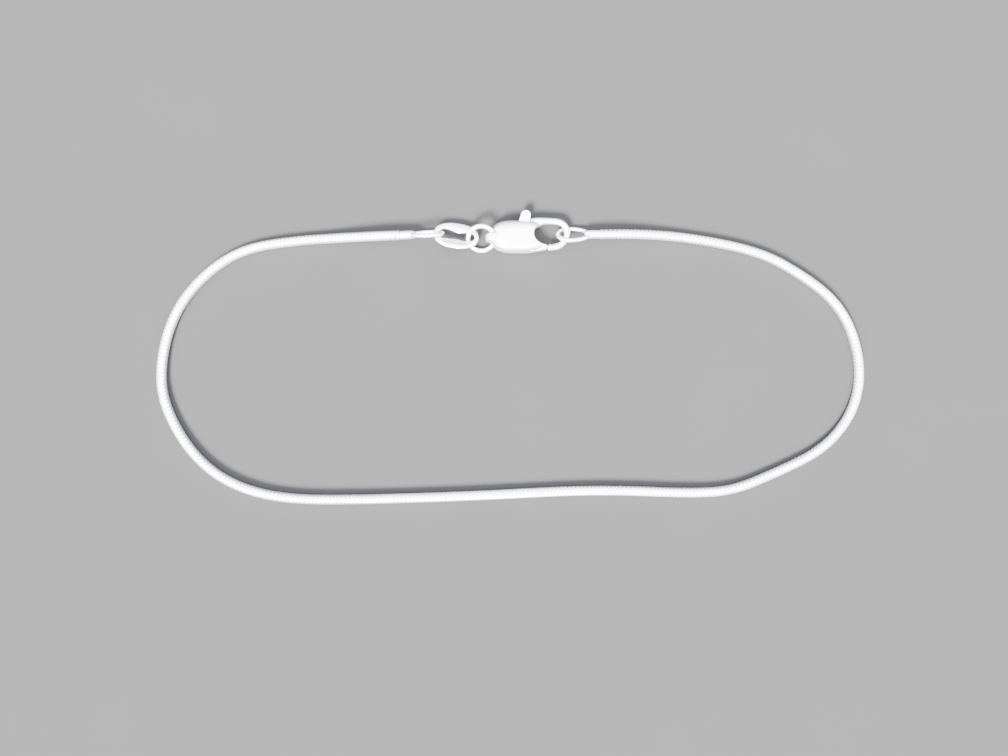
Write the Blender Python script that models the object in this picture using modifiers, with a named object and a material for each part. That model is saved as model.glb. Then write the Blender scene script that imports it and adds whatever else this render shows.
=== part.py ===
"""Snake chain bracelet, fastened with a lobster clasp and lying flat.

World frame: +X runs along the long way of the loop, +Y across it towards the clasp, +Z up from the
surface that it lies on. The clasp's pieces hang on each other from the lever's pivot outwards.
"""
import math

import bmesh
import bpy
import numpy as np
from mathutils import Matrix, Vector

MM = 0.001

# Driving sizes: the chain
CHAIN_DIAMETER = 1.10 * MM
CHAIN_POINT_STEP = 2.15 * MM        # spacing of the tube's points, about two diameters
CHAIN_RISE_LENGTH = 11.0 * MM       # stretch over which each end climbs to its end piece

# Driving sizes: the two end pieces
NECK_DIAMETER = 0.98 * MM
NECK_LENGTH = 1.75 * MM
END_LENGTH = 5.05 * MM              # from the chain's end to the loop's far tip
LOOP_WIDTH = 2.74 * MM              # outside, where the loop is widest
LOOP_TIP_LENGTH = 1.70 * MM         # from the widest place to the far tip
LOOP_WIRE = 0.48 * MM
LEFT_ROLL = math.radians(66.0)      # turned about its own length, the near side up
LEFT_HEIGHT = 1.28 * MM
LEFT_LEAN = 0.30 * MM               # the chain's left end lies this much nearer than the loop's tip
TIP_SLACK = 0.31 * MM               # play between its loop and the oval link
RIGHT_ROLL = math.radians(42.0)
RIGHT_HEIGHT = 1.13 * MM
RIGHT_SIDE = 0.26 * MM              # the right loop's tip beside the pivot
RIGHT_LEAN = 0.10 * MM              # the chain's right end beside the loop's tip

# Driving sizes: the oval link
OVAL_LENGTH = 5.20 * MM
OVAL_WIDTH = 3.12 * MM
OVAL_WIRE = 0.49 * MM               # its round wire at the two ends
OVAL_HOLE_WIDTH = 1.68 * MM         # the hole, before the plates' inner edges swell into it
OVAL_PLATE_SWELL = 0.46 * MM        # how far each plate swells into the hole at mid length
OVAL_PLATE_SPREAD = 1.00 * MM       # how far that swelling reaches along the link
OVAL_PLATE_SHIFT = 0.22 * MM        # the far plate's swelling lies this much nearer the clasp
OVAL_PLATE_THICKNESS = 0.40 * MM    # the long sides are pressed flat to this, in the link's plane
OVAL_BLUNTNESS = 2.3                # 2 is an ellipse, more is squarer
OVAL_HEIGHT = 1.19 * MM
OVAL_SIDE = 0.20 * MM               # its centre beside the tail eye's
OVAL_ROLL = math.radians(13.0)      # near side up
OVAL_TURN = math.radians(-8.0)      # its left end outwards

# Driving sizes: the jump ring
RING_DIAMETER = 3.55 * MM
RING_WIRE = 0.53 * MM
RING_HEIGHT = 1.18 * MM
RING_ROLL = math.radians(-36.0)     # far side up
RING_SIDE = -0.10 * MM              # its centre beside the tail eye's
RING_SEAT = 0.07 * MM               # its wire's middle beyond the tail eye's centre

# Driving sizes: the clasp, in its own frame, whose origin is the lever's pivot
PIVOT = (0.85 * MM, 13.77 * MM)
CLASP_MIDDLE = 1.10 * MM            # height of the clasp's middle plane
BODY_WIDTH = 3.80 * MM
BODY_THICKNESS = 2.32 * MM          # before its underside is flattened at the surface
BODY_TAIL = 3.45 * MM               # from the pivot back to the body's blunt tail end
BODY_FRONT = 2.90 * MM              # from the pivot forward to the body's front
BODY_BLUNTNESS = 3.0
OPENING_DIAMETER = 2.24 * MM        # the clasp's opening, rounded where it bites into the body
OPENING_AHEAD = 2.54 * MM
OPENING_SIDE = 0.24 * MM
HOOK_WIRE = 0.72 * MM
HOOK_ROOT_WIRE = 0.95 * MM
EYE_DISTANCE = 3.12 * MM            # from the pivot back to the tail eye's centre
EYE_DIAMETER = 2.00 * MM
EYE_HOLE = 1.30 * MM
EYE_THICKNESS = 1.00 * MM
EYE_SIDE = -0.13 * MM

# Driving sizes: the lever and its pin
LEVER_THICKNESS = 0.90 * MM
LEVER_HUB = 1.50 * MM
LEVER_TRAVEL = math.radians(20.0)
GATE_WIDTH = 0.62 * MM              # at its tip
GATE_ROOT_WIDTH = 0.98 * MM
GATE_ROOT_SIDE = -1.26 * MM
GATE_REACH = 3.02 * MM              # from the pivot to the gate's tip, along the clasp
GATE_SIDE = -1.22 * MM              # the gate's middle line, across the clasp
NUB_WIDTH = 1.12 * MM
NUB_REACH = 3.04 * MM               # from the pivot to the top of the thumb nub
NUB_LEAN = 0.55 * MM                # how far its top stands towards the hook
PIN_DIAMETER = 0.42 * MM
PIN_SINK = 0.24 * MM                # how deep the pin goes into each cheek

# Clearances
GAP = 0.06 * MM                     # between faces that would touch
GROOVE_GAP = 0.10 * MM              # round the jump ring where it passes through the tail
LINK_SLACK = 0.46 * MM              # play between the oval link and the jump ring
HOOK_SLACK = 0.50 * MM              # play between the hook's nose and the right end piece

# The hook's middle line as shares of its reach and its half height: along, across
HOOK_REACH = 5.32 * MM              # from the pivot to the nose's middle line
HOOK_HALF_HEIGHT = 1.86 * MM
HOOK_LINE = [
    (0.12, 0.86), (0.30, 0.97), (0.50, 1.00), (0.70, 0.99), (0.86, 0.90), (0.96, 0.66),
    (1.00, 0.34), (0.985, 0.02), (0.93, -0.28), (0.84, -0.52), (0.72, -0.63), (0.58, -0.655),
]

# Route of the chain's middle line on the surface, from the left end piece round to the right one
CHAIN_ROUTE = [
    (-20.0, 13.6), (-23.5, 13.4), (-26.9, 13.0), (-30.2, 12.3), (-33.1, 10.9), (-35.8, 8.6),
    (-37.9, 5.8), (-39.2, 2.7), (-39.8, -0.5), (-39.7, -3.9), (-38.6, -7.1), (-36.9, -9.9),
    (-34.6, -12.4), (-31.9, -14.2), (-28.7, -15.4), (-25.3, -16.0), (-20.4, -16.2), (-13.7, -16.1),
    (-7.0, -15.9), (-0.2, -15.6), (6.6, -15.3), (13.4, -15.3), (20.3, -15.5), (25.4, -15.0),
    (28.7, -13.8), (31.9, -12.4), (35.0, -10.7), (37.6, -8.3), (39.4, -5.1), (40.0, -1.5),
    (39.5, 2.0), (38.2, 5.1), (36.1, 7.6), (33.4, 9.6), (30.5, 11.3), (27.3, 12.5), (23.8, 13.3),
    (19.0, 14.0),
]


def clear_scene():
    """Removes what the scene holds."""
    for item in list(bpy.data.objects):
        bpy.data.objects.remove(item, do_unlink=True)


def make_collection(name):
    """Returns a new collection linked to the scene."""
    group = bpy.data.collections.new(name)
    bpy.context.scene.collection.children.link(group)
    return group


def silver(name, roughness, tint):
    """A polished silver material."""
    material = bpy.data.materials.new(name)
    material.use_nodes = True
    shader = material.node_tree.nodes["Principled BSDF"]
    shader.inputs["Base Color"].default_value = (*tint, 1.0)
    shader.inputs["Metallic"].default_value = 1.0
    shader.inputs["Roughness"].default_value = roughness
    return material


def add_object(name, mesh, group, material=None):
    """Makes an object of a mesh in the given collection."""
    piece = bpy.data.objects.new(name, mesh)
    group.objects.link(piece)
    if material is not None:
        mesh.materials.clear()
        mesh.materials.append(material)
        mesh.shade_smooth()
        mesh.set_sharp_from_angle(angle=math.radians(50.0))
    return piece


def hide_cutter(piece):
    """Marks an object as a cutter, which isn't part of the bracelet."""
    piece.hide_render = True
    piece.display_type = "WIRE"
    return piece


def boolean(piece, cutter, operation):
    """Adds an exact Boolean."""
    step = piece.modifiers.new(f"{operation.lower()}_{cutter.name}", "BOOLEAN")
    step.operation = operation
    step.object = cutter
    return step


def signed_power(value, power):
    """Raises the size of a number to a power and keeps its sign."""
    return math.copysign(abs(value) ** power, value)


def smooth_line(points, step):
    """Reads a natural cubic spline through the points, at nearly even steps."""
    points = np.asarray(points, float)
    spans = np.linalg.norm(np.diff(points, axis=0), axis=1)
    knots = np.concatenate([[0.0], np.cumsum(spans)])
    count = len(points)
    system = np.eye(count)
    right = np.zeros_like(points)
    for i in range(1, count - 1):
        before, after = spans[i - 1], spans[i]
        system[i, i - 1:i + 2] = before, 2.0 * (before + after), after
        right[i] = 6.0 * ((points[i + 1] - points[i]) / after - (points[i] - points[i - 1]) / before)
    bend = np.linalg.solve(system, right)

    def at(distance):
        i = min(max(int(np.searchsorted(knots, distance)) - 1, 0), count - 2)
        span = spans[i]
        a = (knots[i + 1] - distance) / span
        b = 1.0 - a
        curve = ((a ** 3 - a) * bend[i] + (b ** 3 - b) * bend[i + 1]) * span ** 2 / 6.0
        return a * points[i] + b * points[i + 1] + curve

    steps = max(2, round(knots[-1] / step))
    return [at(knots[-1] * k / steps) for k in range(steps + 1)]


def wire_curve(name, points, diameter, group, sizes=None, closed=False, resolution=2):
    """A round wire along the points, as a curve object with a bevel."""
    curve = bpy.data.curves.new(name, "CURVE")
    curve.dimensions = "3D"
    curve.bevel_depth = diameter / 2.0
    curve.bevel_resolution = resolution
    curve.use_fill_caps = not closed
    line = curve.splines.new("POLY")
    line.points.add(len(points) - 1)
    for i, point in enumerate(points):
        line.points[i].co = (*point, 1.0)
        line.points[i].radius = 1.0 if sizes is None else sizes[i]
    line.use_cyclic_u = closed
    return add_object(name, curve, group)


def mesh_from_curve(curve_object, group, material=None):
    """Turns a curve object into a closed mesh object of the same name."""
    evaluated = curve_object.evaluated_get(bpy.context.evaluated_depsgraph_get())
    mesh = bpy.data.meshes.new_from_object(evaluated)
    build = bmesh.new()
    build.from_mesh(mesh)
    bmesh.ops.remove_doubles(build, verts=build.verts, dist=1e-7)
    bmesh.ops.recalc_face_normals(build, faces=build.faces)
    build.to_mesh(mesh)
    build.free()
    name = curve_object.name
    matrix = curve_object.matrix_world.copy()
    bpy.data.objects.remove(curve_object, do_unlink=True)
    piece = add_object(name, mesh, group, material)
    piece.matrix_world = matrix
    return piece


def cylinder(name, diameter, length, group, material=None, sides=24):
    """A round bar along Z, centred on its own origin."""
    mesh = bpy.data.meshes.new(name)
    build = bmesh.new()
    bmesh.ops.create_cone(
        build, cap_ends=True, segments=sides, radius1=diameter / 2.0, radius2=diameter / 2.0, depth=length)
    build.to_mesh(mesh)
    build.free()
    return add_object(name, mesh, group, material)


def soft_edges(piece, width, segments):
    """Rounds an object's sharp edges."""
    edge = piece.modifiers.new("soft_edges", "BEVEL")
    edge.width = width
    edge.segments = segments
    edge.angle_limit = math.radians(50.0)


def ring_mesh(name, around, across, place):
    """A torus grid whose points are put by place(turn, side), both angles in radians."""
    bpy.ops.mesh.primitive_torus_add(
        major_segments=around, minor_segments=across, major_radius=1.0, minor_radius=0.25)
    torus = bpy.context.object
    mesh = torus.data.copy()
    mesh.name = name
    bpy.data.objects.remove(torus, do_unlink=True)
    for vertex in mesh.vertices:
        x, y, z = vertex.co
        turn = math.atan2(y, x)
        side = math.atan2(z, math.hypot(x, y) - 1.0)
        vertex.co = place(turn, side)
    return mesh


def rounded_box(name, length, width, thickness, bluntness, group, material=None):
    """A pillow with a blunt outline, shaped from a sphere."""
    mesh = bpy.data.meshes.new(name)
    build = bmesh.new()
    bmesh.ops.create_uvsphere(build, u_segments=36, v_segments=18, radius=1.0)
    for vertex in build.verts:
        x, y, z = vertex.co
        flat = math.hypot(x, y)
        power = 2.0 / bluntness
        if flat > 1e-6:
            reach = math.sqrt(flat)
            vertex.co.x = length / 2.0 * signed_power(x / flat, power) * reach
            vertex.co.y = width / 2.0 * signed_power(y / flat, power) * reach
        vertex.co.z = thickness / 2.0 * signed_power(z, 1.15)
    build.to_mesh(mesh)
    build.free()
    return add_object(name, mesh, group, material)


def end_frame(chain_end, towards, roll):
    """World matrix of an end piece: origin at the chain's end, X to the loop's tip, rolled about X."""
    along = (towards - chain_end).normalized()
    across = Vector((0.0, 0.0, 1.0)).cross(along).normalized()
    upward = along.cross(across)
    base = Matrix((along, across, upward)).transposed().to_4x4()
    return Matrix.Translation(chain_end) @ base @ Matrix.Rotation(roll, 4, "X")


def loop_line():
    """Middle line of an end piece's loop: from inside the neck round the tip and back."""
    half = (LOOP_WIDTH - LOOP_WIRE) / 2.0
    tip = END_LENGTH - LOOP_WIRE / 2.0
    widest = END_LENGTH - LOOP_TIP_LENGTH
    start = NECK_LENGTH * 0.72
    root = NECK_DIAMETER * 0.22
    side = []
    for k in range(9):
        share = k / 9.0
        swell = math.sin(share * math.pi / 2.0) ** 0.6
        side.append(Vector((start + (widest - start) * share, root + (half - root) * swell, 0.0)))
    arc = []
    for k in range(13):
        angle = math.pi / 2.0 - math.pi * k / 12.0
        arc.append(Vector((widest + (tip - widest) * math.cos(angle), half * math.sin(angle), 0.0)))
    mirrored = [Vector((p.x, -p.y, 0.0)) for p in reversed(side)]
    return side + arc + mirrored


def make_end_piece(name, matrix, group, cutters, material):
    """Neck and wire loop, soldered into one."""
    loop = mesh_from_curve(wire_curve(f"{name}_wire", loop_line(), LOOP_WIRE, cutters), cutters)
    hide_cutter(loop)
    neck = cylinder(name, NECK_DIAMETER, NECK_LENGTH, group, material, sides=20)
    neck.data.transform(Matrix.Translation((NECK_LENGTH / 2.0, 0.0, 0.0)) @ Matrix.Rotation(math.pi / 2.0, 4, "Y"))
    soft_edges(neck, NECK_DIAMETER * 0.16, 3)
    boolean(neck, loop, "UNION")
    neck.matrix_world = matrix
    loop.matrix_world = matrix
    return neck


def make_oval_link(centre, group, material):
    """Oval link of round wire whose long sides are pressed flat into lens shaped plates."""
    power = 2.0 / OVAL_BLUNTNESS

    def place(turn, side):
        ahead = signed_power(math.cos(turn), power)
        beside = signed_power(math.sin(turn), power)
        rim = Vector((OVAL_LENGTH / 2.0 * ahead, OVAL_WIDTH / 2.0 * beside, 0.0))
        hole = Vector(((OVAL_LENGTH / 2.0 - OVAL_WIRE) * ahead, OVAL_HOLE_WIDTH / 2.0 * beside, 0.0))
        peak = OVAL_PLATE_SHIFT if beside > 0.0 else 0.0
        spread = math.exp(-((hole.x - peak) / OVAL_PLATE_SPREAD) ** 2)
        swell = OVAL_PLATE_SWELL * spread * min(1.0, 1.2 * abs(beside))
        hole.y -= math.copysign(swell, beside)
        middle = (rim + hole) / 2.0
        fade = min(abs(middle.x) / (0.42 * OVAL_LENGTH), 1.0)
        pressed = 0.5 + 0.5 * math.cos(math.pi * fade)
        thickness = OVAL_WIRE + (OVAL_PLATE_THICKNESS - OVAL_WIRE) * pressed
        upward = Vector((0.0, 0.0, thickness / 2.0 * signed_power(math.sin(side), 0.85)))
        return middle + (rim - middle) * signed_power(math.cos(side), 0.85) + upward

    link = add_object("oval_link", ring_mesh("oval_link", 56, 12, place), group, material)
    link.location = centre
    link.rotation_euler = (-OVAL_ROLL, 0.0, OVAL_TURN)
    return link


def round_ring(name, centre, wire, group, material=None):
    """A ring of the jump ring's middle line, with the given wire."""
    middle_radius = (RING_DIAMETER - RING_WIRE) / 2.0

    def place(turn, side):
        reach = middle_radius + wire / 2.0 * math.cos(side)
        return Vector((reach * math.cos(turn), reach * math.sin(turn), wire / 2.0 * math.sin(side)))

    ring = add_object(name, ring_mesh(name, 40, 12, place), group, material)
    ring.location = centre
    ring.rotation_euler = (-RING_ROLL, 0.0, 0.0)
    return ring


def hook_points():
    """Middle line of the hook in the clasp's frame."""
    chosen = [(along * HOOK_REACH, across * HOOK_HALF_HEIGHT, 0.0) for along, across in HOOK_LINE]
    return smooth_line(chosen, HOOK_WIRE * 0.45)


def lever_bars():
    """The lever's arms as pairs of round ends, each a centre and a diameter."""
    hub = ((0.0, 0.0), LEVER_HUB)
    bend = ((LEVER_HUB * 0.80, GATE_ROOT_SIDE), GATE_ROOT_WIDTH)
    return {
        "nub": [hub, ((NUB_LEAN, NUB_REACH - NUB_WIDTH / 2.0), NUB_WIDTH)],
        "root": [hub, bend],
        "gate": [bend, ((GATE_REACH - GATE_WIDTH / 2.0, GATE_SIDE), GATE_WIDTH)],
    }


def disc_plate(name, discs, thickness, group, sides=28):
    """A flat plate in the clasp's plane: the tightest outline round all the discs."""
    build = bmesh.new()
    for (x, y), diameter in discs:
        for k in range(sides):
            angle = 2.0 * math.pi * k / sides
            for z in (-thickness / 2.0, thickness / 2.0):
                build.verts.new((x + diameter / 2.0 * math.cos(angle), y + diameter / 2.0 * math.sin(angle), z))
    bmesh.ops.remove_doubles(build, verts=build.verts, dist=1e-8)
    hull = bmesh.ops.convex_hull(build, input=build.verts)
    bmesh.ops.delete(build, geom=hull["geom_interior"], context="VERTS")
    bmesh.ops.dissolve_limit(build, angle_limit=1e-3, verts=build.verts, edges=build.edges)
    bmesh.ops.recalc_face_normals(build, faces=build.faces)
    mesh = bpy.data.meshes.new(name)
    build.to_mesh(mesh)
    build.free()
    return add_object(name, mesh, group)


def swept(discs, angle):
    """The discs where they are, halfway and turned by the angle about the pivot, with the running gap."""
    moved = []
    for share in (0.0, 0.5, 1.0):
        turn = Matrix.Rotation(angle * share, 2)
        moved += [(tuple(turn @ Vector(centre)), diameter + 2.0 * GAP) for centre, diameter in discs]
    return moved


def clasp_matrix():
    """World matrix of the clasp's frame."""
    return Matrix.Translation((*PIVOT, CLASP_MIDDLE))


def make_lever(group, cutters, material):
    """Sprung lever: hub with a bore, gate arm and thumb nub."""
    lever = disc_plate("clasp_lever", lever_bars()["nub"], LEVER_THICKNESS, group)
    lever.data.materials.append(material)
    for part in ("root", "gate"):
        arm = hide_cutter(disc_plate(f"lever_{part}", lever_bars()[part], LEVER_THICKNESS, cutters))
        arm.matrix_world = clasp_matrix()
        boolean(lever, arm, "UNION")
    bore = hide_cutter(cylinder("lever_bore", PIN_DIAMETER + 2.0 * GAP, LEVER_THICKNESS * 2.0, cutters))
    bore.matrix_world = clasp_matrix()
    boolean(lever, bore, "DIFFERENCE")
    soft_edges(lever, LEVER_THICKNESS * 0.14, 2)
    lever.matrix_world = clasp_matrix()
    return lever


def make_clasp_body(ring_centre, group, cutters, material):
    """Domed body with its slot, the tail eye and the hook, one casting."""
    frame = clasp_matrix()
    body_length = BODY_TAIL + BODY_FRONT
    body = rounded_box("clasp_body", body_length, BODY_WIDTH, BODY_THICKNESS, BODY_BLUNTNESS, group, material)
    body.data.transform(Matrix.Translation((body_length / 2.0 - BODY_TAIL, 0.0, 0.0)))
    bite = [((OPENING_AHEAD, OPENING_SIDE), OPENING_DIAMETER)]
    boolean(body, hide_cutter(disc_plate("opening", bite, BODY_THICKNESS * 1.5, cutters, sides=48)), "DIFFERENCE")

    line = hook_points()
    fade = [min(k / (0.35 * len(line)), 1.0) for k in range(len(line))]
    sizes = [(HOOK_ROOT_WIRE + (HOOK_WIRE - HOOK_ROOT_WIRE) * share) / HOOK_WIRE for share in fade]
    hook = hide_cutter(mesh_from_curve(
        wire_curve("hook_bar", line, HOOK_WIRE, cutters, sizes=sizes, resolution=4), cutters))
    boolean(body, hook, "UNION")

    eye_middle = (EYE_DIAMETER + EYE_HOLE) / 4.0
    eye_wall = (EYE_DIAMETER - EYE_HOLE) / 4.0

    def place(turn, side):
        reach = eye_middle + eye_wall * math.cos(side)
        return Vector((reach * math.cos(turn) - EYE_DISTANCE,
                       EYE_SIDE + EYE_THICKNESS / 2.0 * math.sin(side), reach * math.sin(turn)))

    eye = hide_cutter(add_object("tail_eye", ring_mesh("tail_eye", 32, 12, place), cutters))
    boolean(body, eye, "UNION")

    floor = bpy.data.meshes.new("surface_cut")
    build = bmesh.new()
    bmesh.ops.create_cube(build, size=1.0)
    bmesh.ops.scale(build, vec=(body_length * 2.0, BODY_WIDTH * 2.0, BODY_THICKNESS), verts=build.verts)
    bmesh.ops.translate(build, vec=(0.0, 0.0, -CLASP_MIDDLE - BODY_THICKNESS / 2.0), verts=build.verts)
    build.to_mesh(floor)
    build.free()
    boolean(body, hide_cutter(add_object("surface_cut", floor, cutters)), "DIFFERENCE")

    slot_thickness = LEVER_THICKNESS + 2.0 * GAP
    bars = lever_bars()
    for part, discs in (("nub", bars["nub"]), ("gate", bars["root"] + bars["gate"][1:])):
        cut = disc_plate(f"slot_{part}", swept(discs, LEVER_TRAVEL), slot_thickness, cutters)
        boolean(body, hide_cutter(cut), "DIFFERENCE")
    pocket = hide_cutter(cylinder("pin_pocket", PIN_DIAMETER + 2.0 * GAP,
                                  slot_thickness + 2.0 * (PIN_SINK + GAP), cutters))
    boolean(body, pocket, "DIFFERENCE")
    for cutter in cutters.objects:
        if cutter.name.startswith(("opening", "hook_bar", "tail_eye", "surface_cut", "slot_", "pin_pocket")):
            cutter.matrix_world = frame
    body.matrix_world = frame
    groove = hide_cutter(round_ring("ring_groove", ring_centre, RING_WIRE + 2.0 * GROOVE_GAP, cutters))
    boolean(body, groove, "DIFFERENCE")
    return body


def make_pin(group, material):
    """Hidden pin through the lever's hub."""
    length = LEVER_THICKNESS + 2.0 * GAP + 2.0 * PIN_SINK
    pin = cylinder("lever_pin", PIN_DIAMETER, length, group, material, sides=20)
    pin.matrix_world = clasp_matrix()
    return pin


def chain_line(left_end, right_end):
    """The chain's middle line: flat on the surface, climbing to an end piece at each end."""
    rest = CHAIN_DIAMETER / 2.0
    flat = [(x * MM, y * MM, rest) for x, y in CHAIN_ROUTE]
    line = smooth_line([tuple(left_end), *flat, tuple(right_end)], CHAIN_POINT_STEP)
    lengths = np.concatenate([[0.0], np.cumsum(np.linalg.norm(np.diff(line, axis=0), axis=1))])
    raised = []
    for point, distance in zip(line, lengths):
        height = rest
        for end, away in ((left_end, distance), (right_end, lengths[-1] - distance)):
            share = max(0.0, 1.0 - away / CHAIN_RISE_LENGTH)
            height += (end.z - rest) * share * share * (3.0 - 2.0 * share)
        raised.append((point[0], point[1], height))
    return raised


def main():
    """Builds the bracelet."""
    clear_scene()
    parts = make_collection("snake_chain_bracelet")
    cutters = make_collection("cutters")
    bright = silver("silver_polished", 0.12, (0.93, 0.92, 0.90))
    links = silver("silver_chain", 0.22, (0.90, 0.89, 0.87))

    pivot = Vector((*PIVOT, CLASP_MIDDLE))
    ring_reach = (RING_DIAMETER - RING_WIRE) / 2.0
    eye = pivot + Vector((-EYE_DISTANCE, EYE_SIDE, 0.0))
    ring_centre = Vector((eye.x - ring_reach + RING_SEAT, eye.y + RING_SIDE, RING_HEIGHT))
    ring_left = ring_centre.x - ring_reach + RING_WIRE / 2.0
    oval_centre = Vector((ring_left + LINK_SLACK + OVAL_WIRE - OVAL_LENGTH / 2.0, eye.y + OVAL_SIDE, OVAL_HEIGHT))
    oval_reach = (OVAL_LENGTH / 2.0 - OVAL_WIRE) * Vector((math.cos(OVAL_TURN), math.sin(OVAL_TURN), 0.0))

    left_tip = oval_centre - oval_reach + Vector((TIP_SLACK + LOOP_WIRE, 0.0, LEFT_HEIGHT - OVAL_HEIGHT))
    left_end = left_tip - Vector((END_LENGTH, LEFT_LEAN, 0.0))
    nose = pivot.x + HOOK_REACH - HOOK_WIRE / 2.0
    right_tip = Vector((nose - HOOK_SLACK - LOOP_WIRE, pivot.y + RIGHT_SIDE, RIGHT_HEIGHT))
    right_end = right_tip + Vector((END_LENGTH, RIGHT_LEAN, 0.0))

    make_end_piece("end_loop_left", end_frame(left_end, left_tip, -LEFT_ROLL), parts, cutters, bright)
    make_end_piece("end_loop_right", end_frame(right_end, right_tip, RIGHT_ROLL), parts, cutters, bright)
    make_oval_link(oval_centre, parts, bright)
    round_ring("jump_ring", ring_centre, RING_WIRE, parts, bright)
    make_lever(parts, cutters, bright)
    make_clasp_body(ring_centre, parts, cutters, bright)
    make_pin(parts, bright)

    line = chain_line(left_end - Vector((GAP, 0.0, 0.0)), right_end + Vector((GAP, 0.0, 0.0)))
    chain = wire_curve("chain", line, CHAIN_DIAMETER, parts)
    chain.data.materials.append(links)


main()
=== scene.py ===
"""Snake chain bracelet, fastened with a lobster clasp: its look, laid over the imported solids."""
import math

import bmesh
import bpy
import numpy as np
from mathutils import Matrix, Vector


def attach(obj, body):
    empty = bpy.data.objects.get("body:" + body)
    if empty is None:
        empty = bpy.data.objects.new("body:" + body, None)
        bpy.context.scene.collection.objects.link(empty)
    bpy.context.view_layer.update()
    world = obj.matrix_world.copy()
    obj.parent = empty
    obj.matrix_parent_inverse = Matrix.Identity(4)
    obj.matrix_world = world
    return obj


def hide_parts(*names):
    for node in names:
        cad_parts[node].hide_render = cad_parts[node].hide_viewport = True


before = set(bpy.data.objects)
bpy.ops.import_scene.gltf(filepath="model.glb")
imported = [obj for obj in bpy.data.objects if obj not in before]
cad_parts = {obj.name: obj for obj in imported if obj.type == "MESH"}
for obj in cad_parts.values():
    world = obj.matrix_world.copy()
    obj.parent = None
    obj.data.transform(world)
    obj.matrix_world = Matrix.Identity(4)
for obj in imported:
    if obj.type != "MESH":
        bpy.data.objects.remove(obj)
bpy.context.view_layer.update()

MM = 0.001

# The chain: its wavy rings lie side by side along the same route as the solid
CHAIN_DIAMETER = 1.10 * MM
CHAIN_POINT_STEP = 2.15 * MM
CHAIN_RISE_LENGTH = 11.0 * MM
LINK_PITCH = 0.447 * MM
LINK_WAVE = 0.28 * MM               # how far each wavy ring swings along the chain
LINK_DEPTH = 0.12 * MM              # from a ring's crown down to the groove beside it
LINK_OVERLAP = 0.52                 # half of a ring's width, as a share of the pitch
LINK_EASE = 5.0                     # rings at each end over which the waves grow
LINK_POINTS_ROUND = 24
LINK_POINTS_ACROSS = 10
CROWN_BLUNTNESS = 0.6               # below 1, a ring's section is squarer than round
FLANK_BLUNTNESS = 0.75
TWIST_START = 0.36                  # share of the chain, from the left, after which it is twisted
TWIST_LENGTH = 0.56                 # share of the chain that one whole turn of the waves takes
CORE_DIAMETER = 0.86 * MM
CORE_STEPS = 400
ROUTE_STEPS = 3000
CHAIN_ROUTE = [
    (-20.0, 13.6), (-23.5, 13.4), (-26.9, 13.0), (-30.2, 12.3), (-33.1, 10.9), (-35.8, 8.6),
    (-37.9, 5.8), (-39.2, 2.7), (-39.8, -0.5), (-39.7, -3.9), (-38.6, -7.1), (-36.9, -9.9),
    (-34.6, -12.4), (-31.9, -14.2), (-28.7, -15.4), (-25.3, -16.0), (-20.4, -16.2), (-13.7, -16.1),
    (-7.0, -15.9), (-0.2, -15.6), (6.6, -15.3), (13.4, -15.3), (20.3, -15.5), (25.4, -15.0),
    (28.7, -13.8), (31.9, -12.4), (35.0, -10.7), (37.6, -8.3), (39.4, -5.1), (40.0, -1.5),
    (39.5, 2.0), (38.2, 5.1), (36.1, 7.6), (33.4, 9.6), (30.5, 11.3), (27.3, 12.5), (23.8, 13.3),
    (19.0, 14.0),
]

# The end pieces. A neck's profile has shares of its length and, beside them, shares of its diameter,
# and it starts a little before the neck, as a sleeve round the chain's end
NECK_PROFILE = [
    (-0.055, 0.0), (-0.055, 0.44), (-0.03, 0.475), (0.05, 0.495), (0.2, 0.5), (0.55, 0.5),
    (0.77, 0.49), (0.88, 0.45), (0.95, 0.38), (0.985, 0.25), (1.0, 0.0),
]
NECK_SIDES = 48
NECK_DIAMETER = 0.98 * MM
NECK_LENGTH = 1.75 * MM
END_LENGTH = 5.05 * MM
LOOP_WIDTH = 2.74 * MM
LOOP_TIP_LENGTH = 1.70 * MM
LOOP_WIRE = 0.48 * MM
LOOP_SWELL = 0.6                    # below 1, the loop widens quickly where it leaves the neck
LOOP_START = 0.72                   # where the wire starts inside the neck, as a share of its length
LOOP_ROOT = 0.22                    # how far off the middle it starts, as a share of its diameter
LOOP_STEPS = 150
LEFT_ROLL = math.radians(66.0)
LEFT_HEIGHT = 1.28 * MM
LEFT_LEAN = 0.30 * MM
TIP_SLACK = 0.31 * MM
RIGHT_ROLL = math.radians(42.0)
RIGHT_HEIGHT = 1.13 * MM
RIGHT_SIDE = 0.26 * MM
RIGHT_LEAN = 0.10 * MM

# The oval link
OVAL_LENGTH = 5.20 * MM
OVAL_WIDTH = 3.12 * MM
OVAL_WIRE = 0.49 * MM
OVAL_HOLE_WIDTH = 1.68 * MM
OVAL_PLATE_SWELL = 0.46 * MM
OVAL_PLATE_SPREAD = 1.00 * MM
OVAL_PLATE_SHIFT = 0.22 * MM
OVAL_FACET_DEPTH = 0.33 * MM        # how far the near plate's face slopes down to the hole
OVAL_FACET_START = 0.45             # where the slope begins, as a share of the way out to the rim
OVAL_FACET_REACH = 1.7              # how far along the plate the slope keeps its depth
OVAL_FACET_SPREAD = 1.25 * MM       # the near plate's inner edge is straighter than the far one's
OVAL_PLATE_REACH = 0.42             # share of the link's length, from its middle, that is pressed
OVAL_PLATE_THICKNESS = 0.40 * MM
OVAL_BLUNTNESS = 2.3
OVAL_SECTION = 0.85                 # below 1, the wire's section is squarer than round
OVAL_HEIGHT = 1.19 * MM
OVAL_SIDE = 0.20 * MM
OVAL_ROLL = math.radians(13.0)
OVAL_TURN = math.radians(-8.0)

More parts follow.
